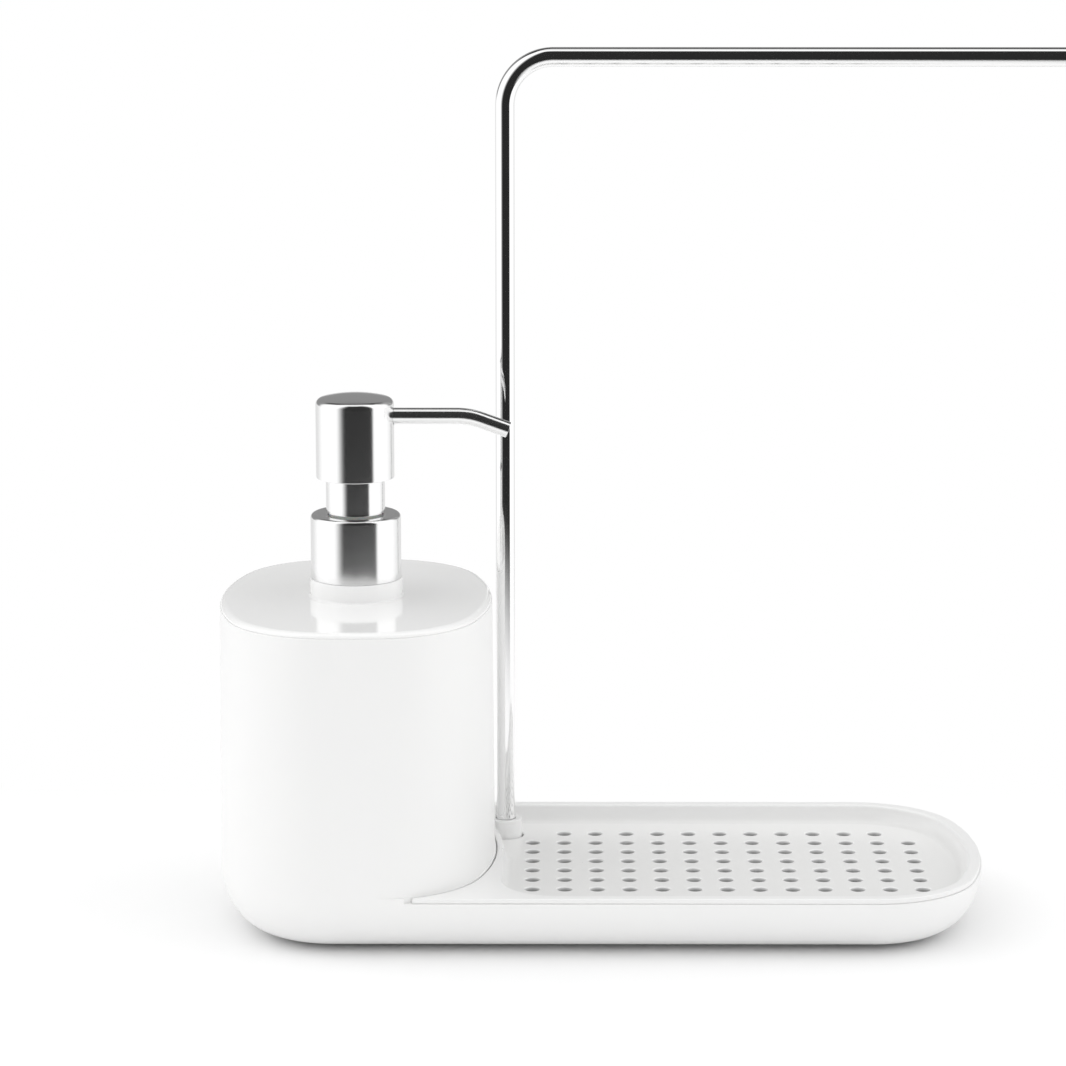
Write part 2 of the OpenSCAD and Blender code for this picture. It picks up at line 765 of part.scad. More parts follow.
module head_core() {
    seat_x = head_in_r - spout_seat;
    color("whitesmoke") difference() {
        head_form(head_skin, core_z);
        on_pump(core_z - overrun) cylinder(r = stem_r + run_gap, h = stem_top - core_z + overrun + face_gap);
        on_pump(core_z) cylinder(r = spout_in_r, h = pipe_z - core_z);
        on_pump(pipe_z) rotate([0, 90, 0]) cylinder(r = spout_in_r, h = head_r);
        on_pump(pipe_z) translate([seat_x, 0, 0]) rotate([0, 90, 0]) cylinder(r = spout_r, h = head_r);
    }
}

// Places along the spout's centre line, each with its slope
function spout_path() = concat(
    [[head_in_r - spout_seat, 0, 0]],
    [for (i = [0:round_steps]) let (a = spout_drop * i / round_steps)
        [spout_run + spout_bend_r * sin(a), -spout_bend_r * (1 - cos(a)), a]],
    [[spout_run + spout_bend_r * sin(spout_drop) + spout_tip_l * cos(spout_drop),
        -spout_bend_r * (1 - cos(spout_drop)) - spout_tip_l * sin(spout_drop), spout_drop]]);

function pipe_ring(p, r) = [for (j = [0:pipe_sides - 1]) let (b = 360 * j / pipe_sides)
    [p[0] + r * sin(b) * sin(p[2]), r * cos(b), p[1] + r * sin(b) * cos(p[2])]];

module spout() {
    path = spout_path();
    last = len(path) - 1;
    rows = concat(
        [for (i = [0:last]) pipe_ring(path[i], spout_r)],
        [for (i = [last:-1:0]) pipe_ring(path[i], spout_in_r)]);
    n = pipe_sides;
    m = len(rows);
    color("silver") on_pump(pipe_z) polyhedron(
        points = [for (row = rows) each row],
        faces = [for (k = [0:m - 1]) for (j = [0:n - 1]) let (next = (k + 1) % m, side = (j + 1) % n)
            [k * n + j, next * n + j, next * n + side, k * n + side]],
        convexity = 4);
}

base_body();
rubber_feet();
drip_tray();
rail_socket();
rail_rod();
rail_end_cap();
rail_foot_plug();
bottle_lid();
lid_seal();
collar_shell();
collar_nut();
neck_gasket();
neck_sleeve();
chaplet();
pump_cylinder();
pump_spring();
spring_seat();
piston();
pump_stem();
inlet_ball();
outlet_ball();
dip_tube();
head_shell();
head_core();
spout();
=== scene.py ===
import math
import bmesh
import bpy
from mathutils import Matrix, Vector


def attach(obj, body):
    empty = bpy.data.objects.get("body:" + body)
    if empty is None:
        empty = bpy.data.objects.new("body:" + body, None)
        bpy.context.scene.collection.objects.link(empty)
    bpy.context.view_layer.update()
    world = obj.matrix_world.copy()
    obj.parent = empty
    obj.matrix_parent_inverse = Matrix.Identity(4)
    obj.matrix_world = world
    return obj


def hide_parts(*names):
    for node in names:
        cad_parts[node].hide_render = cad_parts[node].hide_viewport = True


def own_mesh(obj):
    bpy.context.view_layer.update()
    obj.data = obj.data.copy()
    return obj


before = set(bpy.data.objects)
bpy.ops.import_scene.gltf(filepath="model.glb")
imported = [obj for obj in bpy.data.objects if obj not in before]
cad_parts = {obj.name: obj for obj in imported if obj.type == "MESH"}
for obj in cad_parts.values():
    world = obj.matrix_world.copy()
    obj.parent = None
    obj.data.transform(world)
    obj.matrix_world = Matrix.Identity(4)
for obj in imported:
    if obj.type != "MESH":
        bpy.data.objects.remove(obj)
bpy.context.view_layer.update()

mm = 0.001
print("frame loaded")

# sizes of the caddy in millimetres, the same ones that its solids are built from
caddy = {
    "length": 237.0, "depth": 107.0, "leftX": -144.15, "bottleWidth": 85.3,
    "cornerRadius": 33.0, "endRadius": 100.0, "footRound": 15.5,
    "lean": 0.5,  # of the bottle's wall, in degrees
    "underZ": 1.3, "seamZ": 17.9, "rimZ": 19.5, "topZ": 99.4, "lidZ": 101.0,
    "wall": 2.8, "floor": 2.5, "bevel": 7.75,  # inside the moulding
    "skirt": 0.3, "ledge": 1.2, "lipStep": 0.4, "trayGap": 0.4,  # round the tray
    "notchX": -85.55, "tipX": -83.05,  # where the body's step and the tray's lip end at the bottle
    "pumpX": -101.5, "legX": -55.85, "legY": 34.0,
    "footX": 32.0, "footY": 29.5,  # from the ends, and from the middle
    "cornerSteps": 28, "endSteps": 24,  # how finely a corner and a bulged end are drawn
}
rightX = caddy["leftX"] + caddy["length"]
bottleX = caddy["leftX"] + caddy["bottleWidth"]
cornerY = caddy["depth"] / 2 - caddy["cornerRadius"]
cornerBack = caddy["endRadius"] - math.sqrt(
    (caddy["endRadius"] - caddy["cornerRadius"]) ** 2 - cornerY ** 2)
endAngle = math.degrees(math.atan2(cornerY, caddy["endRadius"] - cornerBack))


# outlines, in millimetres

def arcPoints(x, y, radius, start, end, steps):
    return [(x + radius * math.cos(math.radians(start + (end - start) * i / steps)),
             y + radius * math.sin(math.radians(start + (end - start) * i / steps)))
            for i in range(steps + 1)]


def rightEnd(x, inset):
    # front to back round one bulged end
    corner, middle = caddy["cornerSteps"], caddy["endSteps"]
    step = endAngle / middle * 2
    return (arcPoints(x - cornerBack, -cornerY, caddy["cornerRadius"] - inset, -90, -endAngle, corner)
            + arcPoints(x - caddy["endRadius"], 0, caddy["endRadius"] - inset,
                        -endAngle + step, endAngle - step, middle - 2)
            + arcPoints(x - cornerBack, cornerY, caddy["cornerRadius"] - inset, endAngle, 90, corner))


def outline(x, inset):
    return rightEnd(x, inset) + [(-px, -py) for px, py in rightEnd(-caddy["leftX"], inset)]


def bottleSide(gap, backAngle, frontAngle):
    # back to front round the tray's side of the bottle
    corner, middle = caddy["cornerSteps"], caddy["endSteps"]
    radius = caddy["cornerRadius"] + gap
    step = endAngle / middle * 2
    return (arcPoints(bottleX - cornerBack, cornerY, radius, backAngle, endAngle, corner)
            + arcPoints(bottleX - caddy["endRadius"], 0, caddy["endRadius"] + gap,
                        endAngle - step, -endAngle + step, middle - 2)
            + arcPoints(bottleX - cornerBack, -cornerY, radius, -endAngle, -frontAngle, corner))


def angleAtY(y, gap):
    # where the arc round the bottle's corner reaches a depth
    return math.degrees(math.asin((y - cornerY) / (caddy["cornerRadius"] + gap)))


def angleAtX(x, gap):
    return math.degrees(math.acos((x - bottleX + cornerBack) / (caddy["cornerRadius"] + gap)))


def leanAt(z):
    # how far the wall has leaned in at a height
    return max(0, z - caddy["underZ"] - caddy["footRound"]) * math.tan(math.radians(caddy["lean"]))


def raised(points, z):
    return [Vector((x, y, z)) * mm for x, y in points]


# mesh helpers

def makePiece(name, bm, material, bodyName, nodes, sharp=35, weighted=True):
    bmesh.ops.recalc_face_normals(bm, faces=bm.faces)
    mesh = bpy.data.meshes.new(name)
    bm.to_mesh(mesh)
    bm.free()
    for polygon in mesh.polygons:
        polygon.use_smooth = True
    mesh.set_sharp_from_angle(angle=math.radians(sharp))
    piece = bpy.data.objects.new(name, mesh)
    bpy.context.scene.collection.objects.link(piece)
    mesh.materials.append(material)
    if weighted:
        normals = piece.modifiers.new("evenNormals", "WEIGHTED_NORMAL")
        normals.keep_sharp = True
        normals.weight = 100
    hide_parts(*nodes)
    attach(piece, bodyName)
    return piece


def addRows(bm, rows, capStart=True, capEnd=True, closeRows=False):
    # rings of points joined into a skin
    rings = [[bm.verts.new(point) for point in row] for row in rows]
    pairs = list(zip(rings, rings[1:]))
    if closeRows:
        pairs.append((rings[-1], rings[0]))
    for low, high in pairs:
        count = len(low)
        for j in range(count):
            bm.faces.new((low[j], low[(j + 1) % count], high[(j + 1) % count], high[j]))
    if capStart and not closeRows:
        bm.faces.new(list(reversed(rings[0])))
    if capEnd and not closeRows:
        bm.faces.new(rings[-1])
    return rings


def roundCorners(points, steps=5):
    # points are (r, z, rounding); a rounding turns that corner into an arc
    out = []
    count = len(points)
    for i, (r, z, rounding) in enumerate(points):
        here = Vector((r, z))
        if not rounding:
            out.append(here)
            continue
        before = Vector(points[i - 1][:2]) - here
        after = Vector(points[(i + 1) % count][:2]) - here
        half = before.angle(after) / 2
        reach = rounding / math.tan(half)
        start = here + before.normalized() * reach
        end = here + after.normalized() * reach
        middle = (before.normalized() + after.normalized()).normalized()
        centre = here + middle * (rounding / math.sin(half))
        a = start - centre
        b = end - centre
        turn = a.angle_signed(b)
        for k in range(steps + 1):
            angle = -turn * k / steps
            out.append(centre + Vector((a.x * math.cos(angle) - a.y * math.sin(angle),
                                        a.x * math.sin(angle) + a.y * math.cos(angle))))
    return out


def disc(radius, low, high):
    return [(0, low), (radius, low), (radius, high), (0, high)]


def addTurned(bm, profile, centre, steps=128, matrix=None):
    # a closed profile of (r, z) in millimetres turned about a vertical axis, or about the matrix's own
    place = matrix or Matrix.Translation(Vector(centre) * mm)
    rows = []
    for i in range(steps):
        angle = 2 * math.pi * i / steps
        rows.append([place @ (Vector((r * math.cos(angle), r * math.sin(angle), z)) * mm)
                     for r, z in profile])
    rings = addRows(bm, rows, closeRows=True)
    if min(r for r, z in profile) < 1e-6:
        # points on the axis become one
        bmesh.ops.remove_doubles(bm, verts=[v for ring in rings for v in ring], dist=1e-8)
        bmesh.ops.dissolve_degenerate(bm, edges=bm.edges, dist=1e-9)


def meshOf(build):
    # an object to cut or join with
    bm = bmesh.new()
    build(bm)
    bmesh.ops.recalc_face_normals(bm, faces=bm.faces)
    mesh = bpy.data.meshes.new("scratch")
    bm.to_mesh(mesh)
    bm.free()
    piece = bpy.data.objects.new("scratch", mesh)
    bpy.context.scene.collection.objects.link(piece)
    return piece


def combined(base, tools, bevel=0, bevelSteps=2, bevelAngle=30):
    # applies cuts and joins in order, and gives the result as a bmesh
    for operation, tool in tools:
        change = base.modifiers.new(operation, "BOOLEAN")
        change.operation = operation
        change.solver = "EXACT"
        change.object = tool
    if bevel:
        edge = base.modifiers.new("edge", "BEVEL")
        edge.width = bevel * mm
        edge.segments = bevelSteps
        edge.limit_method = "ANGLE"
        edge.angle_limit = math.radians(bevelAngle)
        edge.use_clamp_overlap = True
        edge.miter_outer = "MITER_ARC"
    bpy.context.view_layer.update()
    done = base.evaluated_get(bpy.context.evaluated_depsgraph_get())
    bm = bmesh.new()
    bm.from_mesh(done.to_mesh())
    done.to_mesh_clear()
    for piece in [base] + [tool for _, tool in tools]:
        mesh = piece.data
        bpy.data.objects.remove(piece)
        bpy.data.meshes.remove(mesh)
    return bm


# materials, each with two close shades and a fine grain; etching and polishing marks are finer than
# 0.1 mm on the real ones, and are drawn at about half a millimetre so that they show at all

def linearColour(hexValue):
    channels = [int(hexValue[i:i + 2], 16) / 255 for i in (1, 3, 5)]
    linear = [c / 12.92 if c <= 0.04045 else ((c + 0.055) / 1.055) ** 2.4 for c in channels]
    return (*linear, 1.0)


def addNode(tree, kind, values=None, links=None, **settings):
    node = tree.nodes.new(kind)
    for key, value in settings.items():
        setattr(node, key, value)
    for key, value in (values or {}).items():
        node.inputs[key].default_value = value
    for key, socket in (links or {}).items():
        tree.links.new(socket, node.inputs[key])
    return node


def surface(name, look):
    # colour drifts between two close shades, roughness and height follow the grain
    material = bpy.data.materials.new(name)
    material.use_nodes = True
    tree = material.node_tree
    tree.nodes.clear()
    place = addNode(tree, "ShaderNodeTexCoord")
    shader = addNode(tree, "ShaderNodeBsdfPrincipled", {
        "Metallic": look.get("metallic", 0.0), "IOR": look.get("ior", 1.5)})
    drift = addNode(tree, "ShaderNodeTexNoise", {"Scale": 1000 / look["driftMm"], "Detail": 2.0},
                    {"Vector": place.outputs["Object"]})
    colour = addNode(tree, "ShaderNodeMix", data_type="RGBA", links={"Factor": drift.outputs["Fac"]})
    colour.inputs[6].default_value = linearColour(look["colour"])
    colour.inputs[7].default_value = linearColour(look["colourTo"])
    tree.links.new(colour.outputs[2], shader.inputs["Base Color"])
    grain = addNode(tree, "ShaderNodeTexNoise", {"Scale": 1000 / look["grainMm"], "Detail": 3.0},
                    {"Vector": place.outputs["Object"]})
    smooth, rough = look["roughness"]
    gloss = addNode(tree, "ShaderNodeMapRange", {"To Min": smooth, "To Max": rough},
                    {"Value": grain.outputs["Fac"]})
    tree.links.new(gloss.outputs["Result"], shader.inputs["Roughness"])
    if look.get("deep"):
        # painted shade: a darker colour comes in between two heights, where shade falls in recesses
        shade, top, low = look["deep"]
        parts = addNode(tree, "ShaderNodeSeparateXYZ", links={0: place.outputs["Object"]})
        depth = addNode(tree, "ShaderNodeMapRange", {"From Min": top * mm, "From Max": low * mm},
                        {"Value": parts.outputs["Z"]}, interpolation_type="SMOOTHSTEP")
        shaded = addNode(tree, "ShaderNodeMix", data_type="RGBA",
                         links={"Factor": depth.outputs["Result"], 6: colour.outputs[2]})
        shaded.inputs[7].default_value = linearColour(shade)
        tree.links.new(shaded.outputs[2], shader.inputs["Base Color"])
    if look.get("bumpMm"):
        bump = addNode(tree, "ShaderNodeBump", {"Strength": 1.0, "Distance": look["bumpMm"] * mm},
                       {"Height": grain.outputs["Fac"]})
        tree.links.new(bump.outputs["Normal"], shader.inputs["Normal"])
    for key, value in look.get("more", {}).items():
        shader.inputs[key].default_value = value
    addNode(tree, "ShaderNodeOutputMaterial", links={"Surface": shader.outputs["BSDF"]})
    return material


# ABS from a lightly etched mould: white with a soft satin sheen
satinAbs = surface("mouldedSatinAbs", {
    "colour": "#f2f2f1", "colourTo": "#f0f0f0", "driftMm": 60, "grainMm": 0.5,
    "roughness": (0.36, 0.44), "ior": 1.53, "bumpMm": 0.0025})
# ABS from a polished mould: mirror-like, with the faint unevenness of the flow
glossAbs = surface("polishedGlossAbs", {
    "colour": "#f6f6f5", "colourTo": "#f4f4f4", "driftMm": 50, "grainMm": 6,
    "roughness": (0.06, 0.1), "ior": 1.53, "bumpMm": 0.006})
# moulded polypropylene of the lift-out tray: semi-gloss, with painted shade that makes the dish a little
# greyer than the rim
semiGloss = {"colour": "#f1f1f0", "colourTo": "#efefef", "driftMm": 40, "grainMm": 1.2,
             "roughness": (0.26, 0.32), "ior": 1.5, "bumpMm": 0.003}
dishPaintedShade = ("#e9e9e8", 17.5, 14.2)  # colour, and the heights in mm at which it begins and is full
trayPlastic = surface("mouldedTrayPolypropylene", dict(semiGloss, deep=dishPaintedShade))
# the same plastic on the sides of the drain holes, with painted shade that goes dark towards the bowl
holePaintedShade = ("#b2b2b2", 13.9, 12.6)
holeShadedPlastic = surface("drainHolePaintedShade", dict(semiGloss, deep=holePaintedShade))
# stainless tube, drawn and polished: a clear, bright mirror with sharp bands
polishedSteel = surface("polishedStainlessSteel", {
    "colour": "#f8f8f8", "colourTo": "#f5f5f5", "driftMm": 30, "grainMm": 0.6,
    "roughness": (0.05, 0.075), "metallic": 1.0})
# aluminium, drawn and bright anodised: a mirror whose bands have softly blurred edges
brightAluminium = surface("brightAnodisedAluminium", {
    "colour": "#f5f5f5", "colourTo": "#f2f2f2", "driftMm": 30, "grainMm": 0.6,
    "roughness": (0.14, 0.18), "metallic": 1.0})
# moulded rubber: dark and dry
footRubber = surface("mouldedRubber", {
    "colour": "#3a3a3b", "colourTo": "#313132", "driftMm": 8, "grainMm": 0.4,
    "roughness": (0.75, 0.9), "ior": 1.52, "bumpMm": 0.02})
# silicone seal: pale, milky
sealSilicone = surface("siliconeSeal", {
    "colour": "#c9c9c7", "colourTo": "#bfbfbd", "driftMm": 10, "grainMm": 0.6,
    "roughness": (0.45, 0.55), "ior": 1.41, "bumpMm": 0.004,
    "more": {"Subsurface Weight": 0.3, "Subsurface Scale": 0.002}})
# natural polypropylene of the pump's inner works, moulded: pale and slightly cloudy
worksPlastic = surface("naturalPolypropylene", {
    "colour": "#e9e9e4", "colourTo": "#e3e3de", "driftMm": 15, "grainMm": 0.8,
    "roughness": (0.32, 0.4), "ior": 1.5, "bumpMm": 0.004,
    "more": {"Subsurface Weight": 0.2, "Subsurface Scale": 0.0015}})
# drawn stainless spring wire and ground balls: grey metal with a dull shine
springSteel = surface("drawnStainlessSteel", {
    "colour": "#b9b9bb", "colourTo": "#a9a9ac", "driftMm": 3, "grainMm": 0.15,
    "roughness": (0.18, 0.28), "metallic": 1.0, "bumpMm": 0.002})
print("materials made")


# body: one moulding, bottle and tray bowl

bodyLook = {"topRound": 0.35, "topSteps": 4, "edge": 0.3, "filletSteps": 28, "sideZ": (45, 70),
            "over": 0.5,  # how far the cuts run past the moulding
            "boss": (9.2, 2.55, 6.3), "footRecess": (6.3, 0.8, 2.3),  # radius, low and high end
            "socketSeat": (8.1, 0.8, 2.825), "socketBore": (5.1, 8)}  # the same, and radius and high end


def bodyForm(bm):
    under, rim, top = caddy["underZ"], caddy["rimZ"], caddy["topZ"]
    fillet = caddy["footRound"]
    low = []
    for i in range(bodyLook["filletSteps"] + 1):
        a = math.pi / 2 * i / bodyLook["filletSteps"]
        low.append(raised(outline(rightX, fillet * (1 - math.sin(a))), under + fillet * (1 - math.cos(a))))
    low.append(raised(outline(rightX, leanAt(rim)), rim))
    edge, steps = bodyLook["topRound"], bodyLook["topSteps"]
    high = [raised(outline(bottleX, leanAt(z)), z) for z in (rim, *bodyLook["sideZ"], top - edge)]
    for i in range(1, steps + 1):
        a = math.pi / 2 * i / steps
        high.append(raised(outline(bottleX, leanAt(top - edge) + edge * (1 - math.cos(a))),
                           top - edge + edge * math.sin(a)))
    for i in range(steps + 1):
        a = math.pi / 2 * i / steps
        high.append(raised(outline(bottleX, caddy["wall"] - edge * (1 - math.sin(a))),
                           top - edge * (1 - math.cos(a))))
    well = caddy["underZ"] + caddy["floor"]
    high.append(raised(outline(bottleX, caddy["wall"]), well + caddy["bevel"]))
    high.append(raised(outline(bottleX, caddy["wall"] + caddy["bevel"]), well))
    count = len(low[0])
    half = count // 2
    rings = [[bm.verts.new(p) for p in row] for row in low]
    first = [bm.verts.new(p) for p in high[0][:half]] + rings[-1][half:]
    upper = [first] + [[bm.verts.new(p) for p in row] for row in high[1:]]
    for group in (rings, upper):
        for a, b in zip(group, group[1:]):
            for j in range(count):
                k = (j + 1) % count
                loop = [a[j], a[k], b[k], b[j]]
                if group is rings and b is rings[-1]:
                    # the bottle's outline starts and ends on this wall's edge
                    if j == half - 1:
                        loop = [a[j], a[k], b[k], first[half - 1], b[j]]
                    if j == count - 1:
                        loop = [a[j], a[k], b[k], first[0], b[j]]
                bm.faces.new(loop)
    bm.faces.new(list(reversed(rings[0])))
    bm.faces.new(upper[-1])
    # the step between the two outlines
    bm.faces.new(first[:half] + list(reversed(rings[-1][:half])))


def bowlRow(inset, gap, z):
    # round the bowl, with an inset from the outer wall and a gap to the bottle
    tip = angleAtY(caddy["depth"] / 2 - inset, gap)
    return raised(rightEnd(rightX, inset) + bottleSide(gap, tip, tip), z)


def pocketForm(bm):
    wall, bevel, gap = caddy["wall"], caddy["bevel"], caddy["skirt"] + caddy["ledge"]
    low = caddy["underZ"] + caddy["floor"]
    addRows(bm, [bowlRow(wall + bevel, gap, low), bowlRow(wall, gap, low + bevel),
                 bowlRow(wall, gap, caddy["rimZ"] + bodyLook["over"])])


def lipLoop(inset, gap, x):
    # round the tray's lip, which runs on past the bottle to two tips at x
    tip = angleAtX(x, gap)
    depth = caddy["depth"] / 2 - inset
    return rightEnd(rightX, inset) + [(x, depth)] + bottleSide(gap, tip, tip) + [(x, -depth)]


def lipForm(bm):
    points = lipLoop(-bodyLook["over"], caddy["skirt"], caddy["notchX"])
    addRows(bm, [raised(points, caddy["seamZ"]), raised(points, caddy["rimZ"] + bodyLook["over"])])


def footPlaces():
    return [(x, y, 0) for x in (caddy["leftX"] + caddy["footX"], rightX - caddy["footX"])
            for y in (-caddy["footY"], caddy["footY"])]


def footRecesses(bm):
    for place in footPlaces():
        addTurned(bm, disc(*bodyLook["footRecess"]), place, steps=48)


def socketBoss(bm):
    addTurned(bm, disc(*bodyLook["boss"]), (caddy["legX"], caddy["legY"], 0), steps=64)


def socketHole(bm):
    seat, low, step = bodyLook["socketSeat"]
    bore, high = bodyLook["socketBore"]
    addTurned(bm, [(0, low), (seat, low), (seat, step), (bore, step), (bore, high), (0, high)],
              (caddy["legX"], caddy["legY"], 0), steps=64)


bodyMesh = combined(meshOf(bodyForm), [
    ("DIFFERENCE", meshOf(pocketForm)), ("DIFFERENCE", meshOf(lipForm)), ("UNION", meshOf(socketBoss)),
    ("DIFFERENCE", meshOf(socketHole)), ("DIFFERENCE", meshOf(footRecesses))],
    bevel=bodyLook["edge"])
makePiece("bodyMoulding", bodyMesh, satinAbs, "base", ["base_body"])
print("body made")


# drip tray

trayLook = {"dishZ": 14.0, "thick": 2.0, "rimWidth": 4.3, "slope": 3.2, "band": 2.0, "frontRound": 17.0,
            "outerRound": 0.5, "outerSteps": 5, "lipChamfer": 0.25, "rimRound": 0.9, "rimSteps": 6,
            "wallSteps": 12, "bayBack": 0.36, "bayFront": 0.16, "underChamfer": 1,
            "columns": 13, "rows": 8, "firstHoleX": -47.15, "holePitch": 10.0,
            "hole": (2.25, 0.45, 32), "socketHole": (5.7, 0.4, 64),  # radius, rounding and sides
            "holeAngles": (90, 60, 30, 0), "holeChamfer": 0.2}


def dishLoop(share):
    # round the dish: share is 0 at its floor and 1 at the rim
    inset = trayLook["rimWidth"] + trayLook["slope"] * (1 - share)
    band = caddy["skirt"] + caddy["trayGap"] + trayLook["band"]
    sideGap = band + trayLook["slope"] / 3 * (1 - share)
    straightX = bottleX + band + trayLook["slope"] * (1 - share)
    frontY = -(caddy["depth"] / 2 - inset)
    backAngle = angleAtY(caddy["depth"] / 2 - inset, sideGap)
    half = caddy["depth"] / 2
    low = max(0.0, 1 - share)
    leave = math.degrees(math.asin(half * trayLook["bayBack"] * low / (caddy["endRadius"] + sideGap)))
    bayY = half * trayLook["bayFront"] * low
    corner = trayLook["frontRound"]
    steps, middle = caddy["cornerSteps"], caddy["endSteps"] // 2
    return (rightEnd(rightX, inset)
            + arcPoints(bottleX - cornerBack, cornerY, caddy["cornerRadius"] + sideGap,
                        backAngle, endAngle, steps)
            + arcPoints(bottleX - caddy["endRadius"], 0, caddy["endRadius"] + sideGap,
                        endAngle - endAngle / middle, leave, middle)
            + [(straightX, bayY - 0.01)]
            + arcPoints(straightX + corner, frontY + corner, corner, 180, 270, steps))


def trayHoles():
    # a grid without its four corners
    for i in range(trayLook["columns"]):
        for j in range(trayLook["rows"]):
            if i in (0, trayLook["columns"] - 1) and j in (0, trayLook["rows"] - 1):
                continue
            yield (trayLook["firstHoleX"] + trayLook["holePitch"] * i,
                   trayLook["holePitch"] * (j - (trayLook["rows"] - 1) / 2))


def fillBetween(bm, loops):
    # flat skin between closed loops of points
    edges = []
    for loop in loops:
        for a, b in zip(loop, loop[1:] + loop[:1]):
            edges.append(bm.edges.get((a, b)) or bm.edges.new((a, b)))
    bmesh.ops.triangle_fill(bm, use_beauty=True, use_dissolve=False, edges=edges)


def addHole(bm, x, y, radius, soft, sides):
    # rounded upper edge, straight side and a small chamfer underneath
    dishZ, chamfer = trayLook["dishZ"], trayLook["holeChamfer"]
    under = dishZ - trayLook["thick"]
    angles = [math.radians(a) for a in trayLook["holeAngles"]]
    profile = [(radius + soft * (1 - math.cos(a)), dishZ - soft + soft * math.sin(a)) for a in angles]
    profile += [(radius, under + chamfer), (radius + chamfer, under)]
    rows = [raised(arcPoints(x, y, r, 0, 360 - 360 / sides, sides - 1), z) for r, z in profile]
    return addRows(bm, rows, capStart=False, capEnd=False)


def trayForm(bm):
    dishZ, rimZ = trayLook["dishZ"], caddy["rimZ"]
    under = dishZ - trayLook["thick"]
    inset, gap = caddy["lipStep"], caddy["skirt"] + caddy["trayGap"]
    edge, chamfer = trayLook["outerRound"], trayLook["lipChamfer"]
    lipRows = [raised(lipLoop(inset + chamfer, gap + chamfer, caddy["tipX"] + chamfer), caddy["seamZ"]),
               raised(lipLoop(inset, gap, caddy["tipX"]), caddy["seamZ"] + chamfer)]
    for i in range(trayLook["outerSteps"] + 1):
        a = math.pi / 2 * i / trayLook["outerSteps"]
        shrink = edge * (1 - math.cos(a))
        lipRows.append(raised(lipLoop(inset + shrink, gap + shrink, caddy["tipX"] + shrink),
                              rimZ - edge + edge * math.sin(a)))
    lip = addRows(bm, lipRows, capStart=False, capEnd=False)
    dishRows = []
    bend = trayLook["rimRound"]
    grow = bend / trayLook["slope"]
    for i in range(trayLook["rimSteps"] + 1):
        a = math.pi / 2 * (1 - i / trayLook["rimSteps"])
        dishRows.append(raised(dishLoop(1 + grow * (1 - math.cos(a))), rimZ - bend + bend * math.sin(a)))
    for i in range(1, trayLook["wallSteps"] + 1):
        a = math.pi / 2 * (1 - i / trayLook["wallSteps"])
        dishRows.append(raised(dishLoop(math.sin(a)), dishZ + (rimZ - bend - dishZ) * (1 - math.cos(a))))
    dish = addRows(bm, dishRows, capStart=False, capEnd=False)
    fillBetween(bm, [lip[-1], dish[0]])
    # lower part that stands in the bowl
    bowlInset, bowlGap = caddy["wall"] + caddy["trayGap"], gap + caddy["ledge"]
    slant = trayLook["underChamfer"]
    bowl = addRows(bm, [bowlRow(bowlInset + slant, bowlGap + slant, under),
                        bowlRow(bowlInset, bowlGap, under + slant),
                        bowlRow(bowlInset, bowlGap, caddy["seamZ"])], capStart=False, capEnd=False)
    fillBetween(bm, [lip[0], bowl[-1]])
    topLoops, bottomLoops = [dish[-1]], [bowl[0]]
    for x, y in trayHoles():
        ring = addHole(bm, x, y, *trayLook["hole"])
        for face in {face for row in ring for vert in row for face in vert.link_faces}:
            face.material_index = 1  # the drain holes' sides, which carry painted shade
        topLoops.append(ring[0])
        bottomLoops.append(ring[-1])
    ring = addHole(bm, caddy["legX"], caddy["legY"], *trayLook["socketHole"])
    topLoops.append(ring[0])
    bottomLoops.append(ring[-1])
    fillBetween(bm, topLoops)
    fillBetween(bm, bottomLoops)


trayMesh = bmesh.new()
trayForm(trayMesh)
tray = makePiece("liftOutTray", trayMesh, trayPlastic, "drip_tray", ["drip_tray"], sharp=40)
tray.data.materials.append(holeShadedPlastic)
print("tray made")


# lid

lidLook = {"step": 0.3, "footChamfer": 0.15, "softWidth": 2.2, "softHeight": 1.2, "softSteps": 12,
           "plugDepth": 7.0, "plugWall": 2.6, "plugGap": 0.3, "plugChamfer": 0.4, "plugSink": 0.6,
           "groove": (1.2, 2.0),  # depth and height of the seal's groove
           "ringRadius": 14.2, "ringHeight": 5.75, "ringRound": 0.15, "footRadius": 15.0, "footFillet": 0.76,
           "footSink": (1.0, 0.03), "neckRadius": 11.6, "neckHeight": 11.4, "neckRound": 0.3,
           "neckFillet": 0.2, "neckBore": 8.6, "boreReach": (6, 20)}


def lidPlate(bm):
    step = leanAt(caddy["topZ"]) + lidLook["step"]
    top, base = caddy["lidZ"], caddy["topZ"]
    side, chamfer = top - base - lidLook["softHeight"], lidLook["footChamfer"]
    rows = [raised(outline(bottleX, step + chamfer), base), raised(outline(bottleX, step), base + chamfer)]
    for i in range(lidLook["softSteps"] + 1):
        a = math.pi / 2 * i / lidLook["softSteps"]
        rows.append(raised(outline(bottleX, step + lidLook["softWidth"] * (1 - math.cos(a))),
                           base + side + lidLook["softHeight"] * math.sin(a)))
    addRows(bm, rows)


def lidPlug(bm):
    outer = caddy["wall"] + lidLook["plugGap"]
    inner = outer + lidLook["plugWall"]
    low, high = caddy["topZ"] - lidLook["plugDepth"], caddy["topZ"] + lidLook["plugSink"]
    chamfer = lidLook["plugChamfer"]
    deep, tall = lidLook["groove"]
    groove = caddy["topZ"] - (lidLook["plugDepth"] + tall) / 2
    profile = [(inner, high), (inner, low), (outer + chamfer, low), (outer, low + chamfer), (outer, groove),
               (outer + deep, groove), (outer + deep, groove + tall), (outer, groove + tall), (outer, high)]
    addRows(bm, [raised(outline(bottleX, inset), z) for inset, z in profile], closeRows=True)


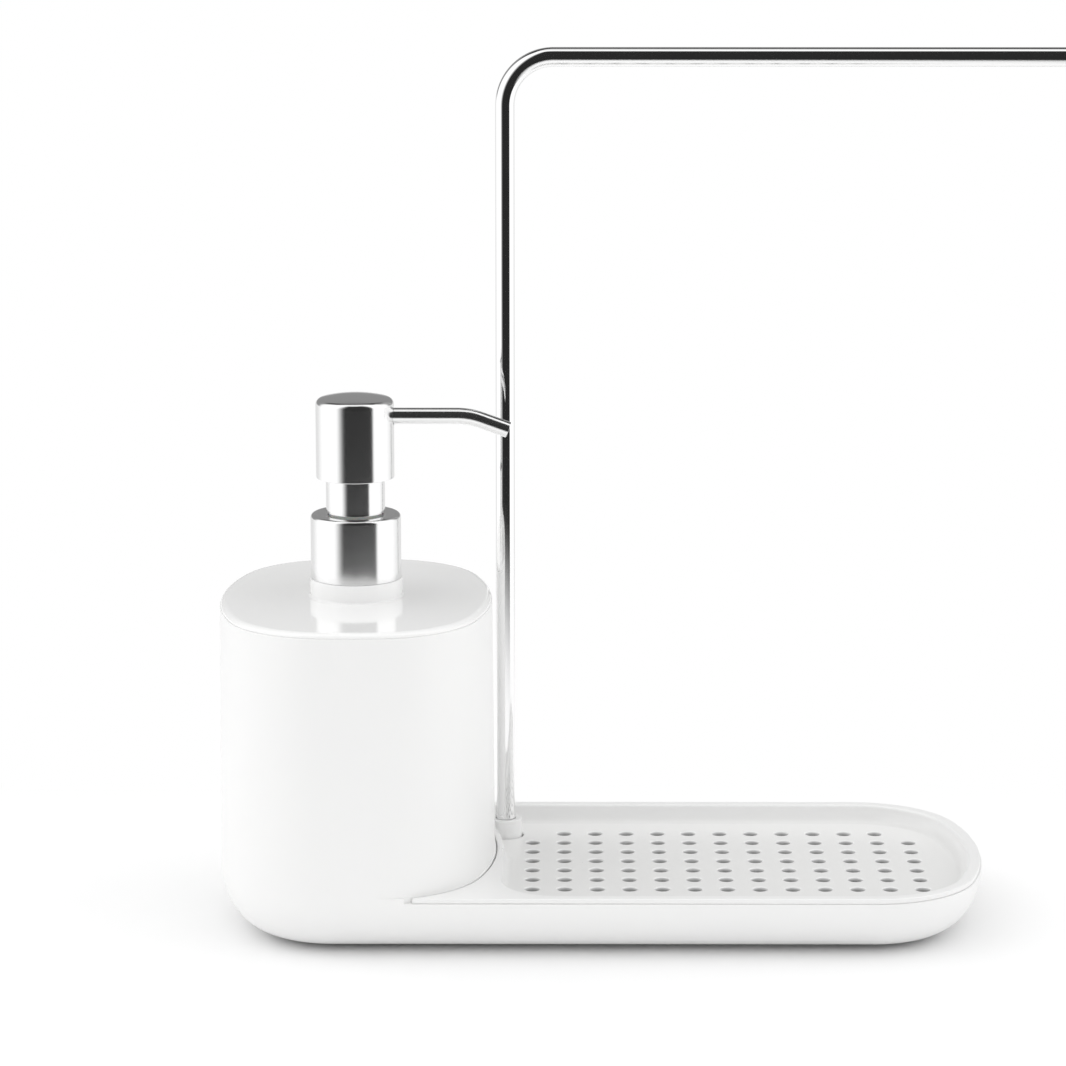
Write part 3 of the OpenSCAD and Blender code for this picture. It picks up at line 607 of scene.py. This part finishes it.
def lidNeck(bm):
    look, z = lidLook, caddy["lidZ"]
    foot, ring, neck, bore = look["footRadius"], look["ringRadius"], look["neckRadius"], look["neckBore"]
    sink, above = look["footSink"]
    profile = roundCorners([
        (bore, z - sink, 0), (foot, z - sink, 0), (foot, z + above, 0),
        (ring, z + above, look["footFillet"]), (ring, z + look["ringHeight"], look["ringRound"]),
        (neck, z + look["ringHeight"], look["neckFillet"]), (neck, z + look["neckHeight"], look["neckRound"]),
        (bore, z + look["neckHeight"], look["neckRound"])])
    addTurned(bm, profile, (caddy["pumpX"], 0, 0), steps=128)


def neckBore(bm):
    below, above = lidLook["boreReach"]
    addTurned(bm, disc(lidLook["neckBore"], caddy["lidZ"] - below, caddy["lidZ"] + above),
              (caddy["pumpX"], 0, 0), steps=96)


lidMesh = combined(meshOf(lidPlate), [
    ("UNION", meshOf(lidPlug)), ("DIFFERENCE", meshOf(neckBore)), ("UNION", meshOf(lidNeck))])
makePiece("bottleLid", lidMesh, glossAbs, "lid", ["bottle_lid"])
print("lid made")


# pump: collar and sleeve have a low and a high end, an outer and an inner radius

pumpLook = {"collar": (106.8, 126.7, 13.9, 13.3), "collarRound": 1.2, "collarHole": 8.55, "collarTop": 0.6,
            "sleeve": (127.2, 139.0, 9.05, 8.2),
            "head": (138.0, 160.6, 12.0, 0.7),  # low end, end of the straight side, radius, skin
            "headRound": 2.0, "headSteps": 16, "dome": 43.0, "sides": 160,
            "pipeZ": 157.0, "pipeEye": (2.85, 9, 14)}  # radius, near and far end


def turnedPiece(name, points, bodyName, node):
    bm = bmesh.new()
    addTurned(bm, roundCorners(points), (caddy["pumpX"], 0, 0), steps=pumpLook["sides"])
    makePiece(name, bm, brightAluminium, bodyName, [node])


low, high, outer, inner = pumpLook["collar"]
hole, under = pumpLook["collarHole"], high - pumpLook["collarTop"]
turnedPiece("collarSkin", [
    (inner, low, 0.1), (outer, low, 0.08), (outer, high, pumpLook["collarRound"]), (hole, high, 0.2),
    (hole, under, 0), (inner, under, 0)], "collar", "collar_shell")
low, high, outer, inner = pumpLook["sleeve"]
turnedPiece("stemSleeve", [
    (inner, low, 0), (outer, low, 0.15), (outer, high, 0.25), (inner, high, 0)],
    "pump_carrier", "neck_sleeve")


def headForm(bm):
    # straight side, round shoulder and shallow dome run into each other, inside as well as outside
    low, side, radius, skin = pumpLook["head"]
    shoulder, dome, steps = pumpLook["headRound"], pumpLook["dome"], pumpLook["headSteps"]
    meet = math.degrees(math.acos((radius - shoulder) / (dome - shoulder)))
    centre = side - (dome - shoulder) * math.sin(math.radians(meet))
    profile = [(radius - skin, low + 0.15), (radius - skin + 0.12, low), (radius - 0.25, low),
               (radius - 0.07, low + 0.07), (radius, low + 0.25)]
    profile += arcPoints(radius - shoulder, side, shoulder, 0, meet, steps)
    profile += arcPoints(0, centre, dome, meet + (90 - meet) / steps, 90, steps - 1)
    profile += arcPoints(0, centre, dome - skin, 90, meet, steps)
    profile += arcPoints(radius - shoulder, side, shoulder - skin, meet - meet / 12, 0, 11)
    profile = [(max(0.0, r), z) for r, z in profile]
    addTurned(bm, profile, (caddy["pumpX"], 0, 0), steps=pumpLook["sides"])


def alongX(x, y, z):
    # turns a form's own axis along +X
    return Matrix.Translation(Vector((x, y, z)) * mm) @ Matrix.Rotation(math.pi / 2, 4, "Y")


def eyeForm(bm):
    addTurned(bm, disc(*pumpLook["pipeEye"]), None, steps=48,
              matrix=alongX(caddy["pumpX"], 0, pumpLook["pipeZ"]))


headMesh = combined(meshOf(headForm), [("DIFFERENCE", meshOf(eyeForm))])
makePiece("pressHead", headMesh, brightAluminium, "pump_head", ["head_shell"])

spoutLook = {"start": 5.7, "run": 31.2, "bend": 22.0, "bendSteps": 16, "drop": 20.0, "tip": 8.8,
             "radius": 2.5, "bore": 1.9, "edge": 0.18, "boreEdge": 0.1}


def sweptRing(centre, tangent, side, radius, steps=48):
    # one ring of a bent tube, in metres
    up = side.cross(tangent).normalized()
    return [(centre + side * (radius * math.cos(2 * math.pi * j / steps))
             + up * (radius * math.sin(2 * math.pi * j / steps))) * mm for j in range(steps)]


def spoutForm(bm):
    look = spoutLook
    path = [(Vector((look["start"], 0, 0)), 0.0)]
    for i in range(look["bendSteps"] + 1):
        a = math.radians(look["drop"]) * i / look["bendSteps"]
        x, fall = look["run"] + look["bend"] * math.sin(a), look["bend"] * (1 - math.cos(a))
        path.append((Vector((x, 0, -fall)), a))
    a = math.radians(look["drop"])
    along = Vector((math.cos(a), 0, -math.sin(a)))
    end = path[-1][0]
    place = Vector((caddy["pumpX"], 0, pumpLook["pipeZ"]))
    side = Vector((0, 1, 0))
    tip, radius, bore, edge, boreEdge = (look[key] for key in ("tip", "radius", "bore", "edge", "boreEdge"))
    stations = [(p, t, radius) for p, t in path]
    for x, r in ((tip - edge, radius), (tip - edge * 0.3, radius - edge * 0.3), (tip, radius - edge),
                 (tip, bore + boreEdge), (tip - boreEdge, bore), (0, bore)):
        stations.append((end + along * x, a, r))
    stations += [(p, t, bore) for p, t in reversed(path[:-1])]
    rows = [sweptRing(place + p, Vector((math.cos(t), 0, -math.sin(t))), side, r) for p, t, r in stations]
    addRows(bm, rows, closeRows=True)


spoutMesh = bmesh.new()
spoutForm(spoutMesh)
makePiece("spoutPipe", spoutMesh, brightAluminium, "pump_head", ["spout"])

springLook = {"coil": 4.7, "wire": 0.45, "turns": 9, "low": 71.0, "high": 100.0, "slack": 0.05,
              "stroke": 10.5, "ringsPerTurn": 32, "sides": 12}


def springForm(bm):
    look = springLook
    margin = look["wire"] + look["slack"]
    low, high = look["low"] + margin, look["high"] - margin
    steps = look["turns"] * look["ringsPerTurn"]
    rows = []
    for i in range(steps + 1):
        angle = 2 * math.pi * i / look["ringsPerTurn"]
        wire = arcPoints(look["coil"], low + (high - low) * i / steps, look["wire"],
                         0, 360 - 360 / look["sides"], look["sides"] - 1)
        rows.append([Vector((caddy["pumpX"] + r * math.cos(angle), r * math.sin(angle), z)) * mm
                     for r, z in wire])
    addRows(bm, rows)


springMesh = bmesh.new()
springForm(springMesh)
spring = makePiece("returnSpring", springMesh, springSteel, "pump_carrier", ["pump_spring"],
                   weighted=False)
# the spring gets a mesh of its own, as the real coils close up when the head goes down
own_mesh(spring)
print("pump made")


# rail

railLook = {"radius": 3.0, "bore": 2.2, "footZ": 3.625, "armZ": 263.4, "bend": 15.0, "bendSteps": 32,
            "armEnd": 142.55, "legRings": (60, 120, 180), "armRings": (0, 50, 100), "sides": 64}


def railForm(bm):
    look = railLook
    x, y = caddy["legX"], caddy["legY"]
    top, bend = look["armZ"], look["bend"]
    path = [(Vector((x, y, z)), 0.0) for z in (look["footZ"], *look["legRings"], top - bend)]
    for i in range(1, look["bendSteps"] + 1):
        a = math.pi / 2 * i / look["bendSteps"]
        path.append((Vector((x + bend * (1 - math.cos(a)), y, top - bend * (1 - math.sin(a)))), a))
    path += [(Vector((px, y, top)), math.pi / 2) for px in (*look["armRings"], look["armEnd"])]
    side = Vector((0, 1, 0))
    stations = [(p, t, look["radius"]) for p, t in path] + [(p, t, look["bore"]) for p, t in reversed(path)]
    rows = [sweptRing(p, Vector((math.sin(t), 0, math.cos(t))), side, r, look["sides"])
            for p, t, r in stations]
    addRows(bm, rows, closeRows=True)


railMesh = bmesh.new()
railForm(railMesh)
makePiece("railTube", railMesh, polishedSteel, "rail_arm", ["rail_rod"])

capLook = {"plug": 8, "plugRound": 0.3, "height": 1.6, "round": 1.5}
radius, bore, plug, height = railLook["radius"], railLook["bore"], capLook["plug"], capLook["height"]
capMesh = bmesh.new()
addTurned(capMesh, roundCorners([
    (0, -plug, 0), (bore, -plug, capLook["plugRound"]), (bore, 0, 0), (radius, 0, 0),
    (radius, height, capLook["round"]), (0, height, 0)], 8),
    None, steps=64, matrix=alongX(railLook["armEnd"], caddy["legY"], railLook["armZ"]))
makePiece("railCap", capMesh, polishedSteel, "rail_arm", ["rail_end_cap"])

socketLook = {"low": 1.625, "high": 19.7, "radius": 5.1, "topRound": 0.35,
              "flange": (7.8, 2.825, 0.2),  # radius, upper end and rounding
              "mouth": (3.2, 16.7, 0.08), "bore": (3.05, 2.625)}  # radius and lower end, rounding
low, high, outer = socketLook["low"], socketLook["high"], socketLook["radius"]
flange, flangeTop, flangeRound = socketLook["flange"]
mouth, mouthFoot, mouthRound = socketLook["mouth"]
bore, boreFoot = socketLook["bore"]
socketMesh = bmesh.new()
addTurned(socketMesh, roundCorners([
    (0, low, 0), (flange, low, flangeRound), (flange, flangeTop, flangeRound), (outer, flangeTop, 0),
    (outer, high, socketLook["topRound"]), (mouth, high, mouthRound), (mouth, mouthFoot, 0),
    (bore, mouthFoot, 0), (bore, boreFoot, 0), (0, boreFoot, 0)], 4),
    (caddy["legX"], caddy["legY"], 0), steps=96)
makePiece("railSocket", socketMesh, satinAbs, "base", ["rail_socket"])

feetLook = {"radius": 6, "height": 2.3, "underRound": 0.4, "topRound": 0.2}
radius, height = feetLook["radius"], feetLook["height"]
feetMesh = bmesh.new()
for place in footPlaces():
    addTurned(feetMesh, roundCorners([
        (0, 0, 0), (radius, 0, feetLook["underRound"]), (radius, height, feetLook["topRound"]),
        (0, height, 0)], 3), place, steps=64)
makePiece("rubberFeet", feetMesh, footRubber, "base", ["rubber_feet"])
print("rail, socket and feet made")


# the other inner works keep their CAD shapes

innerFinish = {
    "lid_seal": sealSilicone, "neck_gasket": sealSilicone, "collar_nut": worksPlastic,
    "chaplet": worksPlastic, "pump_cylinder": worksPlastic, "spring_seat": worksPlastic,
    "piston": worksPlastic, "pump_stem": worksPlastic, "dip_tube": worksPlastic,
    "head_core": worksPlastic, "rail_foot_plug": worksPlastic,
    "inlet_ball": springSteel, "outlet_ball": springSteel,
}
for nodeName, finish in innerFinish.items():
    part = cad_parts[nodeName]
    for materialSlot in part.material_slots:
        materialSlot.material = finish
    if not part.material_slots:
        part.data.materials.append(finish)
print("inner works finished")


# stage, light and camera: the floor in metres, directions in degrees round from the front and up

stageLook = {"floorColour": "#f7f7f7", "floorReach": 6.0, "mirrorCentre": (-0.08, 0.0, 0.0),
             "mirrorReach": (0.17, 0.56), "whiteBeyond": (0.04, 0.14)}
studioLook = {"dark": 0.023, "white": 1.16, "sideFar": 0.82, "backGrey": 0.28,
              "leftEdge": (-56, -27), "rightEdge": (60, 54), "topEdge": (80, 72),
              "backEdge": (112, 130), "backFoot": (-2, 5), "backTop": (67, 64), "backFade": (35, 48),
              "sideEdge": (102, 145), "ambient": 0.645, "skyward": 0.283,
              "lobes": ((-90, 30, 0.988), (78, 30, 0.72)), "lobeFocus": 4.0}  # round, up, strength


def makeFloor():
    bm = bmesh.new()
    bmesh.ops.create_grid(bm, x_segments=1, y_segments=1, size=stageLook["floorReach"])
    mesh = bpy.data.meshes.new("studioFloor")
    bm.to_mesh(mesh)
    bm.free()
    floor = bpy.data.objects.new("studioFloor", mesh)
    bpy.context.scene.collection.objects.link(floor)
    material = bpy.data.materials.new("studioFloor")
    material.use_nodes = True
    tree = material.node_tree
    tree.nodes.clear()
    ray = addNode(tree, "ShaderNodeLightPath")
    place = addNode(tree, "ShaderNodeTexCoord")
    paint = addNode(tree, "ShaderNodeBsdfDiffuse", {"Color": linearColour(stageLook["floorColour"])})
    glow = addNode(tree, "ShaderNodeEmission", {"Color": (1, 1, 1, 1), "Strength": 1.0})
    # the floor turns plain white behind the caddy
    parts = addNode(tree, "ShaderNodeSeparateXYZ", links={0: place.outputs["Object"]})
    near, far = stageLook["whiteBeyond"]
    behind = addNode(tree, "ShaderNodeMapRange", {"From Min": near, "From Max": far},
                     {"Value": parts.outputs["Y"]}, interpolation_type="SMOOTHSTEP")
    share = addNode(tree, "ShaderNodeMath", links={0: behind.outputs[0], 1: ray.outputs["Is Camera Ray"]},
                    operation="MULTIPLY")
    shown = addNode(tree, "ShaderNodeMixShader",
                    links={0: share.outputs[0], 1: paint.outputs[0], 2: glow.outputs[0]})
    # mirrors see the dark studio past the lit part of the floor
    distance = addNode(tree, "ShaderNodeVectorMath", {1: stageLook["mirrorCentre"]},
                       {0: place.outputs["Object"]}, operation="DISTANCE")
    near, far = stageLook["mirrorReach"]
    fade = addNode(tree, "ShaderNodeMapRange", {"From Min": near, "From Max": far},
                   {"Value": distance.outputs["Value"]}, interpolation_type="SMOOTHSTEP")
    mirrored = addNode(tree, "ShaderNodeMath", links={0: fade.outputs[0], 1: ray.outputs["Is Glossy Ray"]},
                       operation="MULTIPLY")
    clear = addNode(tree, "ShaderNodeBsdfTransparent")
    whole = addNode(tree, "ShaderNodeMixShader",
                    links={0: mirrored.outputs[0], 1: shown.outputs[0], 2: clear.outputs[0]})
    addNode(tree, "ShaderNodeOutputMaterial", links={"Surface": whole.outputs[0]})
    mesh.materials.append(material)


def makeWorld():
    look = studioLook
    world = bpy.data.worlds.new("studio")
    bpy.context.scene.world = world
    world.use_nodes = True
    tree = world.node_tree
    tree.nodes.clear()
    direction = addNode(tree, "ShaderNodeTexCoord")
    parts = addNode(tree, "ShaderNodeSeparateXYZ", links={0: direction.outputs["Generated"]})
    towards = addNode(tree, "ShaderNodeMath", {1: -1.0}, {0: parts.outputs["Y"]}, operation="MULTIPLY")
    turn = addNode(tree, "ShaderNodeMath", links={0: parts.outputs["X"], 1: towards.outputs[0]},
                   operation="ARCTAN2")
    rise = addNode(tree, "ShaderNodeMath", links={0: parts.outputs["Z"]}, operation="ARCSINE")
    away = addNode(tree, "ShaderNodeMath", links={0: turn.outputs[0]}, operation="ABSOLUTE")
    # what mirrors see: dark room in front between the soft boxes, grey room behind, white elsewhere
    masks = {}
    for name, edges in {
            "front": ((turn, look["leftEdge"]), (turn, look["rightEdge"]), (rise, look["topEdge"])),
            "back": ((away, look["backEdge"]), (rise, look["backFoot"]), (rise, look["backTop"])),
            "sides": ((away, look["sideEdge"]),)}.items():
        for source, (start, end) in edges:
            edge = addNode(tree, "ShaderNodeMapRange",
                           {"From Min": math.radians(start), "From Max": math.radians(end)},
                           {"Value": source.outputs[0]}, interpolation_type="SMOOTHSTEP")
            if name in masks:
                edge = addNode(tree, "ShaderNodeMath", links={0: masks[name].outputs[0], 1: edge.outputs[0]},
                               operation="MULTIPLY")
            masks[name] = edge
    start, end = look["backFade"]
    backTone = addNode(tree, "ShaderNodeMapRange", {
        "From Min": math.radians(start), "From Max": math.radians(end), "To Min": look["backGrey"],
        "To Max": look["dark"]}, {"Value": rise.outputs[0]})
    tone = addNode(tree, "ShaderNodeMix", {2: look["white"], 3: look["sideFar"]},
                   {0: masks["sides"].outputs[0]}, data_type="FLOAT")
    tone = addNode(tree, "ShaderNodeMix", links={0: masks["back"].outputs[0], 2: tone.outputs[0],
                                                 3: backTone.outputs[0]}, data_type="FLOAT")
    mirrored = addNode(tree, "ShaderNodeMix", {3: look["dark"]},
                       {0: masks["front"].outputs[0], 2: tone.outputs[0]}, data_type="FLOAT")
    # what lights the caddy: soft sky, brighter overhead, and a large soft box at each end
    soft = addNode(tree, "ShaderNodeMath", {1: look["skyward"], 2: look["ambient"]}, {0: parts.outputs["Z"]},
                   operation="MULTIPLY_ADD")
    for around, up, strength in look["lobes"]:
        around, up = math.radians(around), math.radians(up)
        box = (math.sin(around) * math.cos(up), -math.cos(around) * math.cos(up), math.sin(up))
        facing = addNode(tree, "ShaderNodeVectorMath", {1: box}, {0: direction.outputs["Generated"]},
                         operation="DOT_PRODUCT")
        lit = addNode(tree, "ShaderNodeMath", {1: 0.0}, {0: facing.outputs["Value"]}, operation="MAXIMUM")
        lobe = addNode(tree, "ShaderNodeMath", {1: look["lobeFocus"]}, {0: lit.outputs[0]},
                       operation="POWER")
        soft = addNode(tree, "ShaderNodeMath", {1: strength}, {0: lobe.outputs[0], 2: soft.outputs[0]},
                       operation="MULTIPLY_ADD")
    ray = addNode(tree, "ShaderNodeLightPath")
    level = addNode(tree, "ShaderNodeMix", links={0: ray.outputs["Is Glossy Ray"], 2: soft.outputs[0],
                                                  3: mirrored.outputs[0]}, data_type="FLOAT")
    seen = addNode(tree, "ShaderNodeMix", {3: 1.0}, {0: ray.outputs["Is Camera Ray"], 2: level.outputs[0]},
                   data_type="FLOAT")
    back = addNode(tree, "ShaderNodeBackground", {"Color": (1, 1, 1, 1)}, {"Strength": seen.outputs[0]})
    addNode(tree, "ShaderNodeOutputWorld", links={"Surface": back.outputs[0]})


makeFloor()
makeWorld()

cameraLook = {"lens": 131.70, "sensor": 36, "clip": (0.05, 50),
              "place": (-42.857, -1173.605, 370.465), "pitch": 12.028, "yaw": 0.202}
cameraData = bpy.data.cameras.new("camera")
cameraData.lens = cameraLook["lens"]
cameraData.sensor_width = cameraLook["sensor"]
cameraData.clip_start, cameraData.clip_end = cameraLook["clip"]
camera = bpy.data.objects.new("camera", cameraData)
camera.location = Vector(cameraLook["place"]) * mm
camera.rotation_euler = (math.radians(90 - cameraLook["pitch"]), 0, math.radians(cameraLook["yaw"]))
bpy.context.scene.collection.objects.link(camera)
bpy.context.scene.camera = camera
bpy.context.scene.view_settings.view_transform = "Standard"
print("stage, light and camera made")
